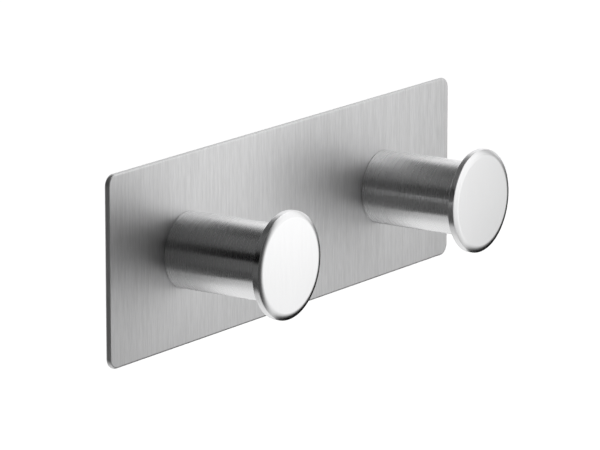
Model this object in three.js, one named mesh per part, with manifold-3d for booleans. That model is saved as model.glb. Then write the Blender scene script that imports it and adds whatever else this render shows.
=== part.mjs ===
// Wall hook rack: a brushed steel plate, taped to a wall, that carries two round pegs.
// Each peg is a tube closed by a wider disc. A countersunk screw goes in from the rear
// of the plate, runs up the middle of the tube and draws the disc and the tube against
// the plate, and a ring at the plate end keeps the tube centred on its screw.
//
// Millimetres, +Z up. The origin is the centre of the tape's wall face. +Y points into
// the wall, so the pegs reach out along -Y, and X runs along the plate.

import * as THREE from 'three';
import { mergeVertices } from 'three/addons/utils/BufferGeometryUtils.js';
import Module from 'manifold-3d';

const wasm = await Module();
wasm.setup();

// Plate
const plateLength = 156;
const plateHeight = 50;
const plateThickness = 1.5;
const plateCornerRadius = 3;
const plateEdgeBreak = 0.3; // size of the broken edge all round both faces

// Pegs
const pegSpacing = 90; // between the two peg axes
const pegLift = 0; // height of the peg axes over the middle of the plate
const sleeveDiameter = 20;
const sleeveWall = 1.5;
const sleeveLength = 30;
const sleeveEdgeBreak = 0.2;

// Discs on the pegs
const headDiameter = 28;
const headThickness = 2.2;
const headSlopeWidth = 2; // how far in from the rim the front starts to curve back
const headSlopeDrop = 0.6; // how far back it has curved near the rim
const headCornerBreak = 0.2; // between that slope and the rim
const headRearBreak = 0.2;
const spigotLength = 6; // the plug behind the disc, inside the sleeve

// Rings at the plate end of the sleeves
const bushLength = 4;
const bushEdgeBreak = 0.3;

// Countersunk screws
const screwDiameter = 4;
const screwHeadDiameter = 7.5;
const screwHeadLand = 0.45; // straight rim of the head behind its 90 degree cone
const screwEngagement = 4.5; // thread inside the disc's spigot
const screwTipBreak = 0.5;
const recessSpan = 4.2; // cross recess
const recessWidth = 1.1;
const recessDepth = 1.4;

// Mounting tape
const tapeThickness = 1;
const tapeMargin = 4; // from the plate's edges
const tapeCornerRadius = 1.5;
const tapeScrewSpace = 8; // from a screw's axis to the tape beside it

// Fits
const slipFit = 0.05; // radial, spigot and ring in the sleeve
const screwSlack = 0.25; // radial, screw in the plate and the ring
const threadFit = 0.05; // radial, screw in the tapped hole
const seatFit = 0.07; // radial, screw head in its countersink
const tipSpace = 1; // from the screw's tip to the bottom of the tapped hole
const cutOver = 1; // how far a cutter stands past the face that it opens

// Facets
const roundSides = 48;
const cornerSides = 8;
const edgeSides = 4;

// Sizes that follow from the ones above
const sleeveRadius = sleeveDiameter / 2;
const boreRadius = sleeveRadius - sleeveWall;
const headRadius = headDiameter / 2;
const screwRadius = screwDiameter / 2;
const screwLength = plateThickness + sleeveLength - spigotLength + screwEngagement;
const screwHoleRadius = screwRadius + screwSlack;
// Radius at the plate's rear face of the cone that the screw head seats in.
const countersinkRadius = screwHeadDiameter / 2 + screwHeadLand + seatFit;

const steel = { color: 0xc3c4c5, roughness: 0.34, metalness: 1 };
const finishes = {
  plate: new THREE.MeshStandardMaterial(steel),
  peg: new THREE.MeshStandardMaterial({ ...steel, color: 0xb4b5b6, roughness: 0.25 }),
  screw: new THREE.MeshStandardMaterial({ ...steel, color: 0x9c9ea0, roughness: 0.3 }),
  bush: new THREE.MeshStandardMaterial({ color: 0xe4e1d8, roughness: 0.6, metalness: 0 }),
  tape: new THREE.MeshStandardMaterial({ color: 0x3a3b3d, roughness: 0.9, metalness: 0 }),
};

// A closed solid that booleans can work on: shared vertices merged, and the empty
// triangles that a turned shape has on its axis left out.
function toSolid(geometry) {
  const bare = geometry.clone();
  bare.deleteAttribute('normal');
  bare.deleteAttribute('uv');
  const merged = mergeVertices(bare);
  const corners = merged.index.array;
  const triVerts = [];
  for (let i = 0; i < corners.length; i += 3) {
    const [a, b, c] = [corners[i], corners[i + 1], corners[i + 2]];
    if (a !== b && b !== c && c !== a) triVerts.push(a, b, c);
  }
  return new wasm.Manifold(new wasm.Mesh({
    numProp: 3,
    vertProperties: Float32Array.from(merged.attributes.position.array),
    triVerts: Uint32Array.from(triVerts),
  }));
}

function toGeometry(solid) {
  const { vertProperties, triVerts } = solid.getMesh();
  const geometry = new THREE.BufferGeometry();
  geometry.setAttribute('position', new THREE.BufferAttribute(vertProperties, 3));
  geometry.setIndex(new THREE.BufferAttribute(triVerts, 1));
  geometry.computeVertexNormals();
  return geometry;
}

// A shape turned about Y. The profile is a list of [radius, reach] points, where reach
// is the distance out from the wall along -Y. It starts at the far end and comes back
// to the wall along the outside.
function turned(profile) {
  const points = profile.map(([radius, reach]) => new THREE.Vector2(radius, -reach));
  return new THREE.LatheGeometry(points, roundSides);
}

// A rounded rectangle in XZ, centred, with its rear face at y = 0 and its front at
// y = -depth. An edge break takes the sharp edge off both faces.
function slab(width, height, depth, cornerRadius, edgeBreak = 0) {
  const x = width / 2 - cornerRadius;
  const z = height / 2 - cornerRadius;
  const outline = new THREE.Shape();
  outline.absarc(x, z, cornerRadius, 0, Math.PI / 2);
  outline.absarc(-x, z, cornerRadius, Math.PI / 2, Math.PI);
  outline.absarc(-x, -z, cornerRadius, Math.PI, 1.5 * Math.PI);
  outline.absarc(x, -z, cornerRadius, 1.5 * Math.PI, 2 * Math.PI);
  const geometry = new THREE.ExtrudeGeometry(outline, {
    depth: depth - 2 * edgeBreak,
    curveSegments: cornerSides,
    bevelEnabled: edgeBreak > 0,
    bevelSize: edgeBreak,
    bevelOffset: -edgeBreak,
    bevelThickness: edgeBreak,
    bevelSegments: 1,
  });
  geometry.translate(0, 0, edgeBreak);
  geometry.rotateX(Math.PI / 2);
  return geometry;
}

// The screw hole with its 90 degree countersink, as a cutter from the plate's rear.
function screwHoleCutter() {
  const coneDepth = countersinkRadius - screwHoleRadius;
  const past = Math.max(coneDepth, plateThickness) + cutOver;
  return toSolid(turned([
    [0, past],
    [screwHoleRadius, past],
    [screwHoleRadius, coneDepth],
    [countersinkRadius + cutOver, -cutOver],
    [0, -cutOver],
  ]));
}

function backPlate() {
  const blank = slab(plateLength, plateHeight, plateThickness, plateCornerRadius, plateEdgeBreak);
  let plate = toSolid(blank);
  for (const side of [-1, 1]) {
    const place = [side * pegSpacing / 2, 0, pegLift];
    plate = plate.subtract(screwHoleCutter().translate(place));
  }
  return toGeometry(plate);
}

// A round tube that stands on the plate, reach 0 at the plate's front face.
function pegSleeve() {
  return turned([
    [boreRadius, sleeveLength],
    [sleeveRadius, sleeveLength],
    [sleeveRadius, sleeveEdgeBreak],
    [sleeveRadius - sleeveEdgeBreak, 0],
    [boreRadius, 0],
    [boreRadius, sleeveLength],
  ]);
}

// A disc whose flat front curves back a little near the rim, reach 0 at the rear face
// that seats on the sleeve. The spigot behind it fills the sleeve's bore and holds the
// tapped hole.
function pegHead() {
  const arcWidth = headSlopeWidth - headCornerBreak;
  const arcRadius = (arcWidth ** 2 + headSlopeDrop ** 2) / (2 * headSlopeDrop);
  const arcTurn = Math.asin(arcWidth / arcRadius);
  const slope = [];
  for (let i = 0; i <= edgeSides; i += 1) {
    const turn = arcTurn * (i / edgeSides);
    slope.push([
      headRadius - headSlopeWidth + arcRadius * Math.sin(turn),
      headThickness - arcRadius * (1 - Math.cos(turn)),
    ]);
  }
  const spigotRadius = boreRadius - slipFit;
  const tappedRadius = screwRadius + threadFit;
  const tappedEnd = screwEngagement + tipSpace - spigotLength;
  return turned([
    [0, headThickness],
    ...slope,
    [headRadius, headThickness - headSlopeDrop - headCornerBreak],
    [headRadius, headRearBreak],
    [headRadius - headRearBreak, 0],
    [spigotRadius, 0],
    [spigotRadius, -spigotLength],
    [tappedRadius, -spigotLength],
    [tappedRadius, tappedEnd],
    [0, tappedEnd],
  ]);
}

// A ring in the plate end of the sleeve, reach 0 at the plate's front face. Its bore
// opens towards the plate, clear of the tip of the screw head's cone.
function locatingBush() {
  const outer = boreRadius - slipFit;
  const coneAtPlateFront = Math.max(countersinkRadius - plateThickness, screwHoleRadius);
  const mouth = coneAtPlateFront + bushEdgeBreak;
  return turned([
    [screwHoleRadius, bushLength],
    [outer - bushEdgeBreak, bushLength],
    [outer, bushLength - bushEdgeBreak],
    [outer, 0],
    [mouth, 0],
    [screwHoleRadius, mouth - screwHoleRadius],
    [screwHoleRadius, bushLength],
  ]);
}

// A countersunk screw, reach 0 at the flat of its head.
function fixingScrew() {
  const headRim = screwHeadDiameter / 2;
  const coneEnd = screwHeadLand + headRim - screwRadius;
  const blank = toSolid(turned([
    [0, screwLength],
    [screwRadius - screwTipBreak, screwLength],
    [screwRadius, screwLength - screwTipBreak],
    [screwRadius, coneEnd],
    [headRim, screwHeadLand],
    [headRim, 0],
    [0, 0],
  ]));
  const slotMiddle = [0, (cutOver - recessDepth) / 2, 0];
  const slotDepth = recessDepth + cutOver;
  const slot = toSolid(new THREE.BoxGeometry(recessSpan, slotDepth, recessWidth));
  const crossSlot = toSolid(new THREE.BoxGeometry(recessWidth, slotDepth, recessSpan));
  return toGeometry(blank.subtract(slot.add(crossSlot).translate(slotMiddle)));
}

// One strip of tape with its wall face at y = tapeThickness behind the plate.
function tapePad(width) {
  const height = plateHeight - 2 * tapeMargin;
  return slab(width, height, tapeThickness, tapeCornerRadius);
}

function named(name, geometry, material, x = 0, reach = 0) {
  const mesh = new THREE.Mesh(geometry, material);
  mesh.name = name;
  mesh.position.set(x, -reach, 0);
  return mesh;
}

// One peg with its inner pieces, about its own axis, reach 0 at the plate's rear face.
function peg(side, x) {
  const group = new THREE.Group();
  const sleeveEnd = plateThickness + sleeveLength;
  group.add(
    named(`${side}_peg_sleeve`, pegSleeve(), finishes.peg, 0, plateThickness),
    named(`${side}_peg_head`, pegHead(), finishes.peg, 0, sleeveEnd),
    named(`${side}_locating_bush`, locatingBush(), finishes.bush, 0, plateThickness),
    named(`${side}_fixing_screw`, fixingScrew(), finishes.screw),
  );
  group.position.set(x, 0, pegLift);
  return group;
}

// Three strips of tape on the plate's rear, which leave the screw heads free.
function tape() {
  const group = new THREE.Group();
  const outerEdge = plateLength / 2 - tapeMargin;
  const innerEdge = pegSpacing / 2 + tapeScrewSpace;
  const sideWidth = outerEdge - innerEdge;
  const sideMiddle = (outerEdge + innerEdge) / 2;
  const middleWidth = pegSpacing - 2 * tapeScrewSpace;
  group.add(
    named('left_tape_pad', tapePad(sideWidth), finishes.tape, -sideMiddle),
    named('middle_tape_pad', tapePad(middleWidth), finishes.tape),
    named('right_tape_pad', tapePad(sideWidth), finishes.tape, sideMiddle),
  );
  return group;
}

const plateAssembly = new THREE.Group();
plateAssembly.add(
  named('back_plate', backPlate(), finishes.plate),
  peg('left', -pegSpacing / 2),
  peg('right', pegSpacing / 2),
);
plateAssembly.position.y = -tapeThickness;

const rack = new THREE.Group();
rack.name = 'wall_hook_rack';
rack.add(plateAssembly, tape());

export default rack;
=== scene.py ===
"""Wall hook rack: the looks of a brushed steel plate with two round pegs.

Every length is in metres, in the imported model's own frame: the origin is the middle of the
tape's wall face, +Y points into the wall, X runs along the plate and +Z is up.
"""

from math import asin, cos, pi, radians, sin

import bmesh
import bpy
from bpy.props import FloatProperty, FloatVectorProperty, IntProperty, PointerProperty
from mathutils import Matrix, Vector


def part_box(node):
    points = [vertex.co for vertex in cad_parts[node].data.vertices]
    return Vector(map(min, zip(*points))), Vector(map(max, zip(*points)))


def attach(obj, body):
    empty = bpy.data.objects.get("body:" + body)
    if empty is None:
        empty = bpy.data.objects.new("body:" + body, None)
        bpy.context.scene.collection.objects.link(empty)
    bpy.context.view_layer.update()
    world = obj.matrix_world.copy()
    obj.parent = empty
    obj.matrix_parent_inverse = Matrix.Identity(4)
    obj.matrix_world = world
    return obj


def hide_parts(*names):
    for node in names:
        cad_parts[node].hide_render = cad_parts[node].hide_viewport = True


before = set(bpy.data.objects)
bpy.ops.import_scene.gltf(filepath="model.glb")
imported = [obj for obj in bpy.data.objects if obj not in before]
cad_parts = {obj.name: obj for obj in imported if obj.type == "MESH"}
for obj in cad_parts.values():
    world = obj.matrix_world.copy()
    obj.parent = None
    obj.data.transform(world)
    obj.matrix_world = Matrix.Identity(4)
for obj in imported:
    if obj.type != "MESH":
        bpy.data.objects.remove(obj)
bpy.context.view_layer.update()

bl_info = {
    "name": "Wall hook rack",
    "version": (1, 0, 0),
    "blender": (4, 5, 0),
    "location": "3D View > Sidebar > Hook rack",
    "description": "Builds a brushed steel wall hook rack and the studio it is shown in",
    "category": "Object",
}

BODY = "root"
MM = 0.001
SLOPE_STEPS = 8  # flats across the curve at a disc's rim
FACE_ON = pi / 2  # turns a primitive's own axis from Z to Y
FAR_LEFT = (-5, 0, 0)  # so far to the left that its bearing is the same all over the rack
OVERLAP = 1 * MM  # how far a cutter stands out of what it cuts
FRONT_FACING = -0.8  # a face whose normal has less Y than this belongs to a disc's front
SOFT_ANGLE = radians(50)  # faces that meet at less than this are shaded as one
SCREW_SOFT_ANGLE = radians(35)
TUBE_END_ANGLE = radians(60)  # only the edges at a tube's ends are sharper than this

# Brushed steel: grain in streaks per metre along X, Y and Z, and depth of its grooves in metres
PLATE_GRAIN = (5600, 5600, 260)
DISC_GRAIN = (7000, 7000, 260)
TURNED_GRAIN = (55, 5200, 55)
PLATE_GROOVES = 0.4e-6
DISC_GROOVES = 0.15e-6
TURNED_GROOVES = 0.06e-6
WIDE_GRAIN = 0.33  # number of wide streaks to one fine streak
FINE_SHARE = 0.6  # part of the streaks' strength that is in the fine ones
STREAK_RANGE = (0.3, 0.7)  # where the streaks go from the dark colour to the light one
STREAK_SPAN = 0.12  # roughness that the streaks add and take away
HAZE_BUMPS = 38  # per metre
HAZE_SPAN = 0.05

# Other finishes: noise in bumps per metre, roughness with its span, and depth in metres
SCREW_GRIME = 900
SCREW_PITS = 9000
SCREW_PIT_DEPTH = 1.5e-6
SCREW_ROUGHNESS = (0.28, 0.2)
SCREW_SHADE = 0.8  # the grime's colour, as a part of the screw's
NYLON_CLOUDS = 400
NYLON_DEPTH = 4e-6
NYLON_ROUGHNESS = (0.5, 0.15)
NYLON_SHADE = 0.93
FOAM_CELLS = 4200
FOAM_CELL_DEPTH = 25e-6
FOAM_CLOUDS = 160
FOAM_ROUGHNESS = (0.62, 0.2)
FOAM_SHINE = 1.7  # the foam's lighter colour, as a multiple of its own

# Camera and floor
SENSOR_WIDTH = 36  # millimetres
CLIP_START = 0.05
WHITE = (1, 1, 1, 1)
FLOOR_PAINT = (0.9, 0.9, 0.9, 1)
FLOOR_ROUGHNESS = 0.9
FLOOR_GLOW = 0.8

# Soft panel in front: places in metres, where each fade starts and ends
PANEL_SIZE = 0.8
PANEL_MIDDLE = 0.25
PANEL_LEFT_EDGE = (-0.03, 0.06)
PANEL_RIGHT_FADE = (0.16, 0.33)
PANEL_RIGHT_LEVEL = 0.25
PANEL_FOOT = (-0.16, -0.08)
PANEL_LOW_FADE = (-0.13, 0.03)
PANEL_LOW_LEVEL = 0.5

# Room: a strip's bearing is 0 on the right and 90 overhead, and it is full as far as the first
# angle from there and out beyond the second, all in degrees
TABLE = (-70, 57, 66)
TABLE_CORE = (-70, 5, 50)
TABLE_LEVEL = 0.65
TABLE_CORE_LEVEL = 0.4
RIGHT_WALL = (0, 38, 72)
UPPER_FAINT = (122, 8, 26)
LOWER_FAINT = (186, 8, 20)
DARK_GAP = (159, 7, 14)
DARK_PATCH = ((0.84, -0.08, -0.54), 24, 34)  # a direction in place of the bearing
TABLE_FRONT = (-0.8, -0.5)  # Y of a direction: out before the first, full past the second
WALL_FRONT = (-0.45, -0.1)


# ---------------------------------------------------------------- sizes and colours


def length(name, text, default):
    return FloatProperty(
        name=name, description=text, default=default, min=0, precision=5, unit="LENGTH"
    )


def angle(name, text, default):
    return FloatProperty(
        name=name, description=text, default=radians(default), subtype="ANGLE"
    )


def level(name, text, default):
    return FloatProperty(name=name, description=text, default=default, min=0)


def colour(name, text, default):
    return FloatVectorProperty(
        name=name, description=text, default=default, min=0, max=1, size=3, subtype="COLOR"
    )


def share(name, text, default):
    return FloatProperty(
        name=name, description=text, default=default, min=0, max=1, subtype="FACTOR"
    )


class PlateSettings(bpy.types.PropertyGroup):
    corner_radius: length("Corner radius", "Radius of the plate's four corners", 3 * MM)
    edge_radius: length("Edge radius", "Rounding of the plate's front and rear edges", 0.6 * MM)
    screw_gap: length("Screw gap", "Space round a screw head in its countersink", 0.07 * MM)


class PegSettings(bpy.types.PropertyGroup):
    sides: IntProperty(name="Sides", description="Flats round a turned piece", default=160, min=24)
    sleeve_wall: length("Sleeve wall", "Thickness of the tube's wall", 1.5 * MM)
    sleeve_edge: length("Sleeve edge", "Broken edge at both ends of the tube", 0.18 * MM)
    slope_width: length("Slope width", "How far in from the rim a disc curves back", 2 * MM)
    slope_drop: length("Slope drop", "How far back a disc has curved at its rim", 0.6 * MM)
    disc_corner: length("Disc corner", "Rounding between a disc's slope and its rim", 0.2 * MM)
    disc_rear_radius: length("Disc rear edge", "Rounding of the disc's rear edge", 0.25 * MM)
    tapped_radius: length("Tapped hole", "Radius of the tapped hole in the spigot", 2.05 * MM)
    tapped_depth: length("Tapped depth", "Depth of the tapped hole in the spigot", 5.5 * MM)
    ring_sides: IntProperty(name="Ring sides", description="Flats round a ring", default=96, min=24)
    bush_bore: length("Ring bore", "Radius of the bore of the centring ring", 2.25 * MM)
    bush_mouth: length("Ring mouth", "Radius of the ring's bore at the plate", 3.07 * MM)
    bush_edge: length("Ring edge", "Broken edge of the centring ring", 0.3 * MM)


class ScrewSettings(bpy.types.PropertyGroup):
    sides: IntProperty(name="Sides", description="Flats round a screw", default=96, min=24)
    shank_radius: length("Shank radius", "Radius over the screw's thread", 2 * MM)
    head_land: length("Head rim", "Straight rim of the screw head behind its cone", 0.45 * MM)
    recess_span: length("Recess span", "Length of each slot of the cross recess", 4.2 * MM)
    recess_width: length("Recess width", "Width of each slot of the cross recess", 1.1 * MM)
    recess_depth: length("Recess depth", "Depth of the cross recess", 1.4 * MM)
    tip_break: length("Tip bevel", "Bevel at the screw's tip", 0.5 * MM)


class TapeSettings(bpy.types.PropertyGroup):
    corner_radius: length("Corner radius", "Radius of the tape's corners", 1.5 * MM)
    edge_radius: length("Edge rounding", "Softened edge of the foam", 0.12 * MM)


class FinishSettings(bpy.types.PropertyGroup):
    plate_light: colour("Plate light", "Lighter streaks of the plate", (0.69, 0.69, 0.693))
    plate_dark: colour("Plate dark", "Darker streaks of the plate", (0.55, 0.55, 0.553))
    plate_roughness: share("Plate roughness", "Roughness of the brushed plate", 0.48)
    plate_brushing: share("Plate brushing", "How far plate and discs blur across the grain", 0.0)
    peg_light: colour("Peg light", "Lighter rings of the turned pegs", (0.70, 0.70, 0.705))
    peg_dark: colour("Peg dark", "Darker rings of the turned pegs", (0.68, 0.68, 0.685))
    disc_light: colour("Disc light", "Lighter streaks of the discs", (0.60, 0.60, 0.603))
    disc_dark: colour("Disc dark", "Darker streaks of the discs", (0.56, 0.56, 0.563))
    peg_roughness: share("Peg roughness", "Roughness of the turned pegs", 0.27)
    peg_brushing: share("Peg brushing", "How far the pegs blur across their rings", 1.0)
    disc_roughness: share("Disc roughness", "Roughness of the discs' front faces", 0.22)
    screw_colour: colour("Screw", "Plain stainless steel of the screws", (0.50, 0.50, 0.51))
    nylon_colour: colour("Nylon", "Natural nylon of the centring rings", (0.80, 0.77, 0.70))
    foam_colour: colour("Foam", "Foam core of the mounting tape", (0.055, 0.055, 0.06))


class StageSettings(bpy.types.PropertyGroup):
    azimuth: angle("Azimuth", "Camera's bearing, 0 looks along +Y", -55.5)
    elevation: angle("Elevation", "Camera's height over the horizon", 12.97)
    distance: length("Distance", "From the camera to its aim point", 1.21)
    lens: FloatProperty(name="Lens", description="Focal length in millimetres", default=274.3)
    aim: FloatVectorProperty(
        name="Aim",
        description="Point that the camera looks at",
        default=(8.7 * MM, -0.5 * MM, -4.1 * MM),
        subtype="TRANSLATION",
    )
    floor_drop: length("Floor drop", "From the rack's middle down to the floor", 0.3)
    floor_radius: length("Floor radius", "Radius of the pale round floor", 6)
    dim: level("Dim room", "Brightness of the room's unlit part", 0.085)
    faint: level("Faint light", "Brightness added above and below the dark gap", 0.05)
    backdrop: level("Backdrop", "Brightness of the wall to the right and behind", 1.15)
    table: level("Table", "Brightness of the table's reflection", 1.0)
    panel_gap: length("Panel gap", "From the wall to the soft panel in front", 0.15)
    panel: level("Panel", "Brightness of the soft panel in front", 1.57)


SETTINGS = {
    "rack_plate": PlateSettings,
    "rack_pegs": PegSettings,
    "rack_screws": ScrewSettings,
    "rack_tape": TapeSettings,
    "rack_finish": FinishSettings,
    "rack_stage": StageSettings,
}


# ---------------------------------------------------------------- shader arithmetic


class Wire:
    """One shader socket. A sum on it adds the Math nodes that work it out."""

    def __init__(self, shader, socket):
        self.shader = shader
        self.socket = socket

    def math(self, operation, *values):
        inputs = dict(enumerate(values))
        return self.shader.node("ShaderNodeMath", {"operation": operation}, inputs)

    def __add__(self, other):
        return self.math("ADD", self, other)

    def __radd__(self, other):
        return self.math("ADD", other, self)

    def __sub__(self, other):
        return self.math("SUBTRACT", self, other)

    def __rsub__(self, other):
        return self.math("SUBTRACT", other, self)

    def __mul__(self, other):
        return self.math("MULTIPLY", self, other)

    def __rmul__(self, other):
        return self.math("MULTIPLY", other, self)


class Shader:
    """The node tree of a material or of the world."""

    def __init__(self, owner):
        owner.use_nodes = True
        self.tree = owner.node_tree
        self.tree.nodes.clear()

    def node(self, kind, settings=None, inputs=None, output=0):
        """Adds a node: its settings first, then the values or links of its sockets."""
        made = self.tree.nodes.new(kind)
        for name, value in (settings or {}).items():
            setattr(made, name, value)
        for name, value in (inputs or {}).items():
            if isinstance(value, Wire):
                self.tree.links.new(value.socket, made.inputs[name])
            else:
                made.inputs[name].default_value = value
        return Wire(self, made.outputs[output]) if made.outputs else None

    def place(self, scale):
        """Object coordinates, with their own scale along X, Y and Z."""
        here = self.node("ShaderNodeTexCoord", output="Object")
        inputs = {"Vector": here, "Scale": scale}
        return self.node("ShaderNodeMapping", {"vector_type": "POINT"}, inputs)

    def noise(self, vector, detail=2.0, roughness=0.5):
        """Noise about 0.5, one bump per unit of the vector."""
        inputs = {"Vector": vector, "Scale": 1.0, "Detail": detail, "Roughness": roughness}
        return self.node("ShaderNodeTexNoise", {"noise_dimensions": "3D"}, inputs)

    def cloud(self, bumps, detail):
        """Noise that is alike in all directions, with this many bumps per metre."""
        return self.noise(self.place((bumps, bumps, bumps)), detail)

    def blend(self, factor, low, high):
        """A colour between low and high, which a Mix node takes in sockets 6 and 7."""
        inputs = {0: factor, 6: (*low, 1.0), 7: (*high, 1.0)}
        return self.node("ShaderNodeMix", {"data_type": "RGBA"}, inputs, output=2)

    def step(self, value, start, end, low=0.0, high=1.0):
        """Low before start, high after end, and a smooth rise between them."""
        inputs = {
            "Value": value,
            "From Min": start,
            "From Max": end,
            "To Min": low,
            "To Max": high,
        }
        return self.node("ShaderNodeMapRange", {"interpolation_type": "SMOOTHSTEP"}, inputs)

    def bump(self, height, depth):
        """Normals of a surface whose height varies by depth metres."""
        inputs = {"Height": height, "Distance": depth, "Strength": 1.0}
        return self.node("ShaderNodeBump", None, inputs)

    def surface(self, **sockets):
        """The Principled shader and the output; a socket's spaces are written as _."""
        inputs = {name.replace("_", " "): value for name, value in sockets.items()}
        made = self.node("ShaderNodeBsdfPrincipled", None, inputs)
        self.node("ShaderNodeOutputMaterial", None, {"Surface": made})


# ---------------------------------------------------------------- finishes


def varied(base, span, noise):
    """A value that the noise moves about its base. The noise itself is about 0.5."""
    return base + (noise - 0.5) * span


def brushed(name, grain, depth, light, dark, roughness, anisotropy):
    """Steel with fine streaks that run along the axes in which the grain is coarse."""
    material = bpy.data.materials.new(name)
    shader = Shader(material)
    fine = shader.noise(shader.place(grain), detail=3.0, roughness=0.6)
    wide = shader.noise(shader.place([g * WIDE_GRAIN for g in grain]))
    haze = shader.cloud(HAZE_BUMPS, detail=2.0)
    streak = fine * FINE_SHARE + wide * (1 - FINE_SHARE)
    contrast = shader.step(streak, *STREAK_RANGE)
    shader.surface(
        Base_Color=shader.blend(contrast, dark, light),
        Metallic=1.0,
        Roughness=varied(varied(roughness, STREAK_SPAN, streak), HAZE_SPAN, haze),
        Anisotropic=anisotropy,
        Normal=shader.bump(fine, depth),
    )
    return material


def plate_steel():
    look = bpy.context.scene.rack_finish
    return brushed(
        "plate_brushed_steel",
        PLATE_GRAIN,
        PLATE_GROOVES,
        look.plate_light,
        look.plate_dark,
        look.plate_roughness,
        look.plate_brushing,
    )


def disc_steel():
    look = bpy.context.scene.rack_finish
    return brushed(
        "disc_brushed_steel",
        DISC_GRAIN,
        DISC_GROOVES,
        look.disc_light,
        look.disc_dark,
        look.disc_roughness,
        look.plate_brushing,
    )


def turned_steel():
    look = bpy.context.scene.rack_finish
    return brushed(
        "peg_turned_steel",
        TURNED_GRAIN,
        TURNED_GROOVES,
        look.peg_light,
        look.peg_dark,
        look.peg_roughness,
        look.peg_brushing,
    )


def plain_steel():
    look = bpy.context.scene.rack_finish
    material = bpy.data.materials.new("screw_steel")
    shader = Shader(material)
    grime = shader.cloud(SCREW_GRIME, detail=4.0)
    pits = shader.cloud(SCREW_PITS, detail=2.0)
    shade = [c * SCREW_SHADE for c in look.screw_colour]
    shader.surface(
        Base_Color=shader.blend(grime, shade, look.screw_colour),
        Metallic=1.0,
        Roughness=varied(*SCREW_ROUGHNESS, grime),
        Normal=shader.bump(pits, SCREW_PIT_DEPTH),
    )
    return material


def nylon():
    look = bpy.context.scene.rack_finish
    material = bpy.data.materials.new("ring_nylon")
    shader = Shader(material)
    cloud = shader.cloud(NYLON_CLOUDS, detail=3.0)
    shade = [c * NYLON_SHADE for c in look.nylon_colour]
    shader.surface(
        Base_Color=shader.blend(cloud, shade, look.nylon_colour),
        Roughness=varied(*NYLON_ROUGHNESS, cloud),
        Normal=shader.bump(cloud, NYLON_DEPTH),
    )
    return material


def tape_foam():
    look = bpy.context.scene.rack_finish
    material = bpy.data.materials.new("tape_foam")
    shader = Shader(material)
    where = shader.place((FOAM_CELLS, FOAM_CELLS, FOAM_CELLS))
    inputs = {"Vector": where, "Scale": 1.0}
    cells = shader.node("ShaderNodeTexVoronoi", {"feature": "F1"}, inputs)
    cloud = shader.cloud(FOAM_CLOUDS, detail=3.0)
    lit = [min(1.0, c * FOAM_SHINE) for c in look.foam_colour]
    shader.surface(
        Base_Color=shader.blend(cloud, look.foam_colour, lit),
        Roughness=varied(*FOAM_ROUGHNESS, cloud),
        Normal=shader.bump(cells, FOAM_CELL_DEPTH),
    )
    return material


# ---------------------------------------------------------------- modelling helpers


def deselect_all():
    for thing in bpy.context.selected_objects:
        thing.select_set(False)


def activate(thing):
    deselect_all()
    thing.select_set(True)
    bpy.context.view_layer.objects.active = thing


def edit(thing):
    activate(thing)
    bpy.ops.object.mode_set(mode="EDIT")


def leave_edit():
    bpy.ops.object.mode_set(mode="OBJECT")


def pick(kind, test):
    """Selects, in edit mode, the faces, edges or vertices that pass the test."""
    bpy.ops.mesh.select_mode(type=kind)
    bpy.ops.mesh.select_all(action="DESELECT")
    mesh = bpy.context.active_object.data
    shape = bmesh.from_edit_mesh(mesh)
    for part in {"FACE": shape.faces, "EDGE": shape.edges, "VERT": shape.verts}[kind]:
        if test(part):
            part.select_set(True)
    shape.select_flush_mode()
    bmesh.update_edit_mesh(mesh)


def at_level(y, slack=1e-6):
    """A test for faces, edges and vertices that lie in the plane at this y."""

    def test(part):
        corners = getattr(part, "verts", [part])
        return all(abs(corner.co.y - y) < slack for corner in corners)

    return test


def added(name):
    """The primitive that was just added, named, with its place in its mesh."""
    bpy.ops.object.transform_apply(location=True, rotation=True, scale=True)
    thing = bpy.context.active_object
    thing.name = name
    thing.data.name = name
    return thing


def block(name, low, high):
    deselect_all()
    bpy.ops.mesh.primitive_cube_add(size=1, location=(low + high) / 2, scale=high - low)
    return added(name)


def round_bar(name, centre, radius, near, far, sides, ends="NGON"):
    """A round bar along Y about the centre, from y = near to y = far."""
    deselect_all()
    bpy.ops.mesh.primitive_cylinder_add(
        vertices=sides,
        radius=radius,
        depth=abs(far - near),
        end_fill_type=ends,
        location=(centre.x, (near + far) / 2, centre.z),
        rotation=(FACE_ON, 0, 0),
    )
    return added(name)


def apply(thing, kind, **settings):
    """Adds a modifier and applies it."""
    activate(thing)
    modifier = thing.modifiers.new(kind.title(), kind)
    for name, value in settings.items():
        setattr(modifier, name, value)
    bpy.ops.object.modifier_apply(modifier=modifier.name)


def cut(thing, cutter):
    apply(thing, "BOOLEAN", operation="DIFFERENCE", object=cutter, solver="EXACT")
    bpy.data.objects.remove(cutter)


def smooth(thing, sharp=SOFT_ANGLE):
    """Smooth shading that leaves the flat faces flat."""
    activate(thing)
    bpy.ops.object.shade_smooth_by_angle(angle=sharp)
    apply(thing, "WEIGHTED_NORMAL", keep_sharp=True, weight=100)


def brush_along(mesh, direction):
    """Cycles turns a brushed shader's own direction about the middle of the texture space,
    so a middle far to one side turns it the same way all over the piece."""
    mesh.use_auto_texspace = False
    mesh.texspace_location = Vector(direction)
    mesh.texspace_size = (1, 1, 1)


def middle(node):
    low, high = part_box(node)
    return (low + high) / 2


def across(node):
    """The way from a node on the left to the same node on the right."""
    return middle(f"right_{node}") - middle(f"left_{node}")


def copied(thing, name, offset):
    """A copy of a finished shape with a mesh of its own, moved by the offset."""
    activate(thing)
    bpy.ops.object.duplicate(linked=False)
    bpy.ops.transform.translate(value=offset)
    return added(name)


def piece(thing, node):
    """Puts a finished piece in the rack in place of its CAD node."""
    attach(thing, BODY)
    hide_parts(node)


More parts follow.
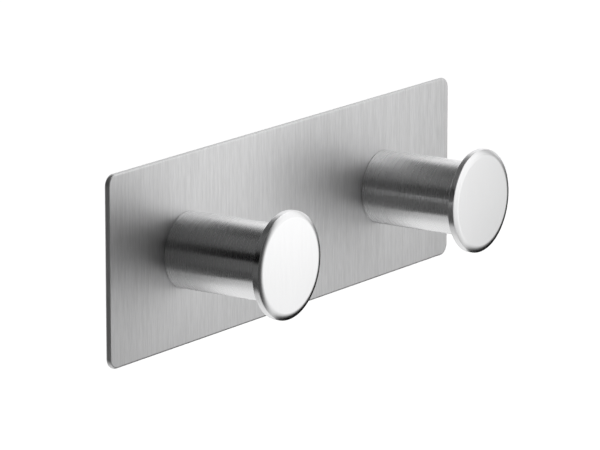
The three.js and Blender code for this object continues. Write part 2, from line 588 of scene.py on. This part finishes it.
def pair(left, name, node, slot, *materials):
    """Puts a finished left piece in the rack, and its copy on the right."""
    for material in materials:
        left.data.materials.append(material)
    right = copied(left, f"right_{name}", across(node))
    piece(left, f"left_{node}")
    piece(right, f"right_{node}")


def grow(outward, width):
    """One step of a turned profile, in edit mode: extrude the selected end face along Y,
    then scale it about its own middle."""
    bpy.ops.mesh.extrude_region_move(TRANSFORM_OT_translate={"value": (0, outward, 0)})
    bpy.ops.transform.resize(value=(width, 1, width))


# ---------------------------------------------------------------- pieces


class RACK_OT_plate(bpy.types.Operator):
    """Rounded plate with two countersunk holes, brushed up and down"""

    bl_idname = "rack.plate"
    bl_label = "Back plate"

    def execute(self, context):
        sizes = context.scene.rack_plate
        low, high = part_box("back_plate")
        plate = block("plate", low, high)
        edit(plate)
        pick("EDGE", lambda e: abs(e.verts[0].co.y - e.verts[1].co.y) > (high - low).y / 2)
        bpy.ops.mesh.bevel(offset=sizes.corner_radius, segments=20)
        for y in (low.y, high.y):
            pick("EDGE", at_level(y))
            bpy.ops.mesh.bevel(offset=sizes.edge_radius, segments=5)
        leave_edit()
        left = self.countersink(context, high.y)
        right = copied(left, "right_countersink", across("fixing_screw"))
        cut(plate, left)
        cut(plate, right)
        smooth(plate)
        plate.data.materials.append(plate_steel())
        piece(plate, "back_plate")
        return {"FINISHED"}

    def countersink(self, context, rear):
        """A cutter of the left screw's shape, a little larger all round."""
        screw = context.scene.rack_screws
        low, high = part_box("left_fixing_screw")
        gap = context.scene.rack_plate.screw_gap
        mouth = (high.x - low.x) / 2 + screw.head_land + gap
        hole = context.scene.rack_pegs.bush_bore
        wide = mouth + OVERLAP
        centre = middle("left_fixing_screw")
        deselect_all()
        bpy.ops.mesh.primitive_cone_add(
            vertices=screw.sides,
            radius1=wide,
            radius2=hole,
            depth=wide - hole,
            location=(centre.x, rear + OVERLAP - (wide - hole) / 2, centre.z),
            rotation=(FACE_ON, 0, 0),
        )
        return added("left_countersink")


class RACK_OT_sleeves(bpy.types.Operator):
    """Round tubes that stand on the plate"""

    bl_idname = "rack.sleeves"
    bl_label = "Peg sleeves"

    def execute(self, context):
        sizes = context.scene.rack_pegs
        node = "left_peg_sleeve"
        low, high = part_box(node)
        radius = (high.x - low.x) / 2
        ends = (low.y, high.y)
        sleeve = round_bar("left_sleeve", middle(node), radius, *ends, sizes.sides, "NOTHING")
        apply(sleeve, "SOLIDIFY", thickness=sizes.sleeve_wall, offset=-1)
        apply(
            sleeve,
            "BEVEL",
            width=sizes.sleeve_edge,
            segments=3,
            limit_method="ANGLE",
            angle_limit=TUBE_END_ANGLE,
        )
        smooth(sleeve)
        brush_along(sleeve.data, FAR_LEFT)
        pair(sleeve, "sleeve", "peg_sleeve", "peg_steel", turned_steel())
        return {"FINISHED"}


class RACK_OT_discs(bpy.types.Operator):
    """Discs with a rounded front edge and a tapped spigot behind"""

    bl_idname = "rack.discs"
    bl_label = "Peg discs"

    def execute(self, context):
        disc = self.disc(context)
        smooth(disc)
        self.brush_front(disc)
        brush_along(disc.data, FAR_LEFT)
        pair(disc, "disc", "peg_head", "peg_steel", turned_steel(), disc_steel())
        return {"FINISHED"}

    def disc(self, context):
        sizes = context.scene.rack_pegs
        node = "left_peg_head"
        low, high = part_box(node)
        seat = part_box("left_peg_sleeve")[0].y
        radius = (high.x - low.x) / 2
        bush_low, bush_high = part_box("left_locating_bush")
        spigot = (bush_high.x - bush_low.x) / 2
        rim = low.y + sizes.slope_drop
        disc = round_bar("left_disc", middle(node), radius, seat, rim, sizes.sides)
        edit(disc)
        pick("FACE", at_level(rim))
        for inward, rise in self.slope(sizes):
            bpy.ops.mesh.inset(thickness=inward, depth=rise)
        pick("EDGE", at_level(rim))
        bpy.ops.mesh.bevel(offset=sizes.disc_corner, segments=4)
        pick("EDGE", at_level(seat))
        bpy.ops.mesh.bevel(offset=sizes.disc_rear_radius, segments=3)
        pick("FACE", at_level(seat))
        bpy.ops.mesh.inset(thickness=radius - sizes.disc_rear_radius - spigot)
        bpy.ops.mesh.extrude_region_move(
            TRANSFORM_OT_translate={"value": (0, high.y - seat, 0)}
        )
        bpy.ops.mesh.inset(thickness=spigot - sizes.tapped_radius)
        bpy.ops.mesh.extrude_region_move(
            TRANSFORM_OT_translate={"value": (0, -sizes.tapped_depth, 0)}
        )
        leave_edit()
        return disc

    def slope(self, sizes):
        """The curve of a disc's front from its rim inwards, as pairs of inset and rise."""
        width, drop = sizes.slope_width, sizes.slope_drop
        arc = (width**2 + drop**2) / (2 * drop)
        turns = [asin(width / arc) * (1 - i / SLOPE_STEPS) for i in range(SLOPE_STEPS + 1)]
        return [
            (arc * (sin(near) - sin(far)), arc * (cos(far) - cos(near)))
            for near, far in zip(turns, turns[1:])
        ]

    def brush_front(self, disc):
        """The flat front and its slope take the second finish."""
        for face in disc.data.polygons:
            if face.normal.y < FRONT_FACING:
                face.material_index = 1


class RACK_OT_bushes(bpy.types.Operator):
    """Nylon rings that centre the sleeves on their screws"""

    bl_idname = "rack.bushes"
    bl_label = "Centring rings"

    def execute(self, context):
        sizes = context.scene.rack_pegs
        node = "left_locating_bush"
        low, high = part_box(node)
        radius = (high.x - low.x) / 2
        ends = (low.y, high.y)
        ring = round_bar("left_ring", middle(node), radius, *ends, sizes.ring_sides, "NOTHING")
        apply(ring, "SOLIDIFY", thickness=radius - sizes.bush_bore, offset=-1)
        edit(ring)
        pick("EDGE", lambda e: at_level(low.y)(e) and self.at_radius(e, radius))
        bpy.ops.mesh.bevel(offset=sizes.bush_edge, segments=2)
        pick("EDGE", lambda e: at_level(high.y)(e) and self.at_radius(e, sizes.bush_bore))
        bpy.ops.mesh.bevel(offset=sizes.bush_mouth - sizes.bush_bore, segments=1)
        leave_edit()
        smooth(ring)
        pair(ring, "ring", "locating_bush", "bush_nylon", nylon())
        return {"FINISHED"}

    def at_radius(self, edge, radius, slack=1e-5):
        centre = middle("left_locating_bush")
        away = [Vector((v.co.x - centre.x, v.co.z - centre.z)).length for v in edge.verts]
        return all(abs(distance - radius) < slack for distance in away)


class RACK_OT_screws(bpy.types.Operator):
    """Countersunk screws with a cross recess"""

    bl_idname = "rack.screws"
    bl_label = "Fixing screws"

    def execute(self, context):
        screw = self.screw(context)
        smooth(screw, SCREW_SOFT_ANGLE)
        pair(screw, "screw", "fixing_screw", "screw_steel", plain_steel())
        return {"FINISHED"}

    def screw(self, context):
        sizes = context.scene.rack_screws
        node = "left_fixing_screw"
        low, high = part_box(node)
        centre = middle(node)
        head = (high.x - low.x) / 2
        shank = sizes.shank_radius
        rim_front = high.y - sizes.head_land
        screw = round_bar("left_screw", centre, head, high.y, rim_front, sizes.sides)
        edit(screw)
        pick("FACE", at_level(rim_front))
        grow(-(head - shank), shank / head)
        cone_end = rim_front - (head - shank)
        grow(low.y + sizes.tip_break - cone_end, 1)
        grow(-sizes.tip_break, (shank - sizes.tip_break) / shank)
        leave_edit()
        span, width = sizes.recess_span, sizes.recess_width
        for half in (Vector((span / 2, 0, width / 2)), Vector((width / 2, 0, span / 2))):
            corner = Vector((centre.x, 0, centre.z))
            low_corner = corner - half + Vector((0, high.y - sizes.recess_depth, 0))
            high_corner = corner + half + Vector((0, high.y + OVERLAP, 0))
            cut(screw, block("slot", low_corner, high_corner))
        return screw


class RACK_OT_tape(bpy.types.Operator):
    """Strips of double-sided foam tape on the plate's rear"""

    bl_idname = "rack.tape"
    bl_label = "Mounting tape"

    def execute(self, context):
        foam = tape_foam()
        middle_pad = self.pad(context, "middle")
        middle_pad.data.materials.append(foam)
        piece(middle_pad, "middle_tape_pad")
        pair(self.pad(context, "left"), "tape", "tape_pad", "tape_foam", foam)
        return {"FINISHED"}

    def pad(self, context, place):
        sizes = context.scene.rack_tape
        low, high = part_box(f"{place}_tape_pad")
        pad = block(f"{place}_tape", low, high)
        edit(pad)
        pick("EDGE", lambda e: abs(e.verts[0].co.y - e.verts[1].co.y) > (high - low).y / 2)
        bpy.ops.mesh.bevel(offset=sizes.corner_radius, segments=10)
        for y in (low.y, high.y):
            pick("EDGE", at_level(y))
            bpy.ops.mesh.bevel(offset=sizes.edge_radius, segments=3)
        leave_edit()
        smooth(pad)
        return pad


# ---------------------------------------------------------------- stage


class RACK_OT_stage(bpy.types.Operator):
    """Camera, soft studio light and a plain pale floor"""

    bl_idname = "rack.stage"
    bl_label = "Studio"

    def execute(self, context):
        context.scene.view_settings.view_transform = "Standard"
        self.camera(context)
        self.floor(context)
        self.panel(context)
        self.surroundings(context)
        return {"FINISHED"}

    def camera(self, context):
        stage = context.scene.rack_stage
        a, e = stage.azimuth, stage.elevation
        back = Vector((sin(a) * cos(e), -cos(a) * cos(e), sin(e)))
        data = bpy.data.cameras.new("camera")
        data.lens = stage.lens
        data.sensor_width = SENSOR_WIDTH
        data.clip_start = CLIP_START
        camera = bpy.data.objects.new("camera", data)
        camera.location = Vector(stage.aim) + back * stage.distance
        camera.rotation_mode = "QUATERNION"
        camera.rotation_quaternion = back.to_track_quat("Z", "Y")
        context.scene.collection.objects.link(camera)
        context.scene.camera = camera

    def floor(self, context):
        """A pale floor far below, bright enough to be white. The steel doesn't mirror it."""
        stage = context.scene.rack_stage
        deselect_all()
        bpy.ops.mesh.primitive_circle_add(
            vertices=96,
            radius=stage.floor_radius,
            fill_type="NGON",
            location=(0, 0, -stage.floor_drop),
        )
        floor = added("floor")
        floor.visible_glossy = False
        material = bpy.data.materials.new("pale_floor")
        Shader(material).surface(
            Base_Color=FLOOR_PAINT,
            Roughness=FLOOR_ROUGHNESS,
            Emission_Color=WHITE,
            Emission_Strength=FLOOR_GLOW,
        )
        floor.data.materials.append(material)

    def panel(self, context):
        """A large soft panel in front and to the right, which fades to the right and down.
        The camera doesn't see it."""
        stage = context.scene.rack_stage
        deselect_all()
        bpy.ops.mesh.primitive_plane_add(
            size=PANEL_SIZE,
            location=(PANEL_MIDDLE, -stage.panel_gap, 0),
            rotation=(FACE_ON, 0, 0),
        )
        panel = added("panel")
        panel.visible_camera = False
        material = bpy.data.materials.new("soft_panel")
        shader = Shader(material)
        here = {"Vector": shader.node("ShaderNodeTexCoord", output="Object")}
        x = shader.node("ShaderNodeSeparateXYZ", None, here, output=0)
        z = shader.node("ShaderNodeSeparateXYZ", None, here, output=2)
        left = shader.step(x, *PANEL_LEFT_EDGE)
        right = shader.step(x, *PANEL_RIGHT_FADE, 1.0, PANEL_RIGHT_LEVEL)
        foot = shader.step(z, *PANEL_FOOT)
        low = shader.step(z, *PANEL_LOW_FADE, PANEL_LOW_LEVEL, 1.0)
        strength = (left * right) * (foot * low) * stage.panel
        glow = shader.node("ShaderNodeEmission", None, {"Strength": strength})
        clear = shader.node("ShaderNodeBsdfTransparent")
        both = shader.node("ShaderNodeAddShader", None, {0: glow, 1: clear})
        shader.node("ShaderNodeOutputMaterial", None, {"Surface": both})
        panel.data.materials.append(material)

    def surroundings(self, context):
        """A dim room with a bright wall on the right and a bright table below, which both fade
        out towards the front. High on the left is a dark gap with faint light above and below
        it, and low on the right is a dark patch. The camera itself sees plain white."""
        stage = context.scene.rack_stage
        world = bpy.data.worlds.new("studio")
        context.scene.world = world
        shader = Shader(world)
        toward = shader.node("ShaderNodeTexCoord", output="Generated")
        flat = shader.node(
            "ShaderNodeVectorMath", {"operation": "MULTIPLY"}, {0: toward, 1: (1, 0, 1)}
        )
        round_y = shader.node("ShaderNodeVectorMath", {"operation": "NORMALIZE"}, {0: flat})

        def near(vector, unit, inner, outer):
            """One where the vector is close to the unit direction, and nothing far from it."""
            dot = {"operation": "DOT_PRODUCT"}
            along = shader.node("ShaderNodeVectorMath", dot, {0: vector, 1: unit}, output=1)
            return shader.step(along, cos(radians(outer)), cos(radians(inner)))

        def strip(bearing, inner, outer):
            """A strip along Y."""
            unit = (cos(radians(bearing)), 0, sin(radians(bearing)))
            return near(round_y, unit, inner, outer)

        def patch(direction, inner, outer):
            """A round patch."""
            return near(toward, tuple(Vector(direction).normalized()), inner, outer)

        forward = shader.node("ShaderNodeSeparateXYZ", None, {0: toward}, output=1)
        shape = TABLE_LEVEL * strip(*TABLE) + TABLE_CORE_LEVEL * strip(*TABLE_CORE)
        table = stage.table * shape * shader.step(forward, *TABLE_FRONT)
        right = stage.backdrop * strip(*RIGHT_WALL) * shader.step(forward, *WALL_FRONT)
        faint = stage.faint * (strip(*UPPER_FAINT) + strip(*LOWER_FAINT))
        light = stage.dim + faint + table.math("MAXIMUM", table, right)
        light = light * (1 - patch(*DARK_PATCH)) * (1 - strip(*DARK_GAP))
        seen = shader.node("ShaderNodeLightPath", output="Is Camera Ray")
        strength = seen + (1 - seen) * light
        inputs = {"Color": WHITE, "Strength": strength}
        glow = shader.node("ShaderNodeBackground", None, inputs)
        shader.node("ShaderNodeOutputWorld", None, {"Surface": glow})


# ---------------------------------------------------------------- sidebar


PIECES = (
    RACK_OT_plate,
    RACK_OT_sleeves,
    RACK_OT_discs,
    RACK_OT_bushes,
    RACK_OT_screws,
    RACK_OT_tape,
)


class RACK_PT_panel(bpy.types.Panel):
    """Builds the rack piece by piece"""

    bl_idname = "RACK_PT_panel"
    bl_label = "Wall hook rack"
    bl_space_type = "VIEW_3D"
    bl_region_type = "UI"
    bl_category = "Hook rack"

    def draw(self, context):
        for operator in (*PIECES, RACK_OT_stage):
            self.layout.operator(operator.bl_idname)
        for group in SETTINGS:
            settings = getattr(context.scene, group)
            box = self.layout.box()
            for name in settings.bl_rna.properties.keys():
                if name not in ("rna_type", "name"):
                    box.prop(settings, name)


CLASSES = (*SETTINGS.values(), *PIECES, RACK_OT_stage, RACK_PT_panel)


def register():
    for kind in CLASSES:
        bpy.utils.register_class(kind)
    for name, kind in SETTINGS.items():
        setattr(bpy.types.Scene, name, PointerProperty(type=kind))


def unregister():
    for name in SETTINGS:
        delattr(bpy.types.Scene, name)
    for kind in reversed(CLASSES):
        bpy.utils.unregister_class(kind)


def main():
    register()
    bpy.ops.rack.plate()
    bpy.ops.rack.sleeves()
    bpy.ops.rack.discs()
    bpy.ops.rack.bushes()
    bpy.ops.rack.screws()
    bpy.ops.rack.tape()
    bpy.ops.rack.stage()


if __name__ == "__main__":
    main()
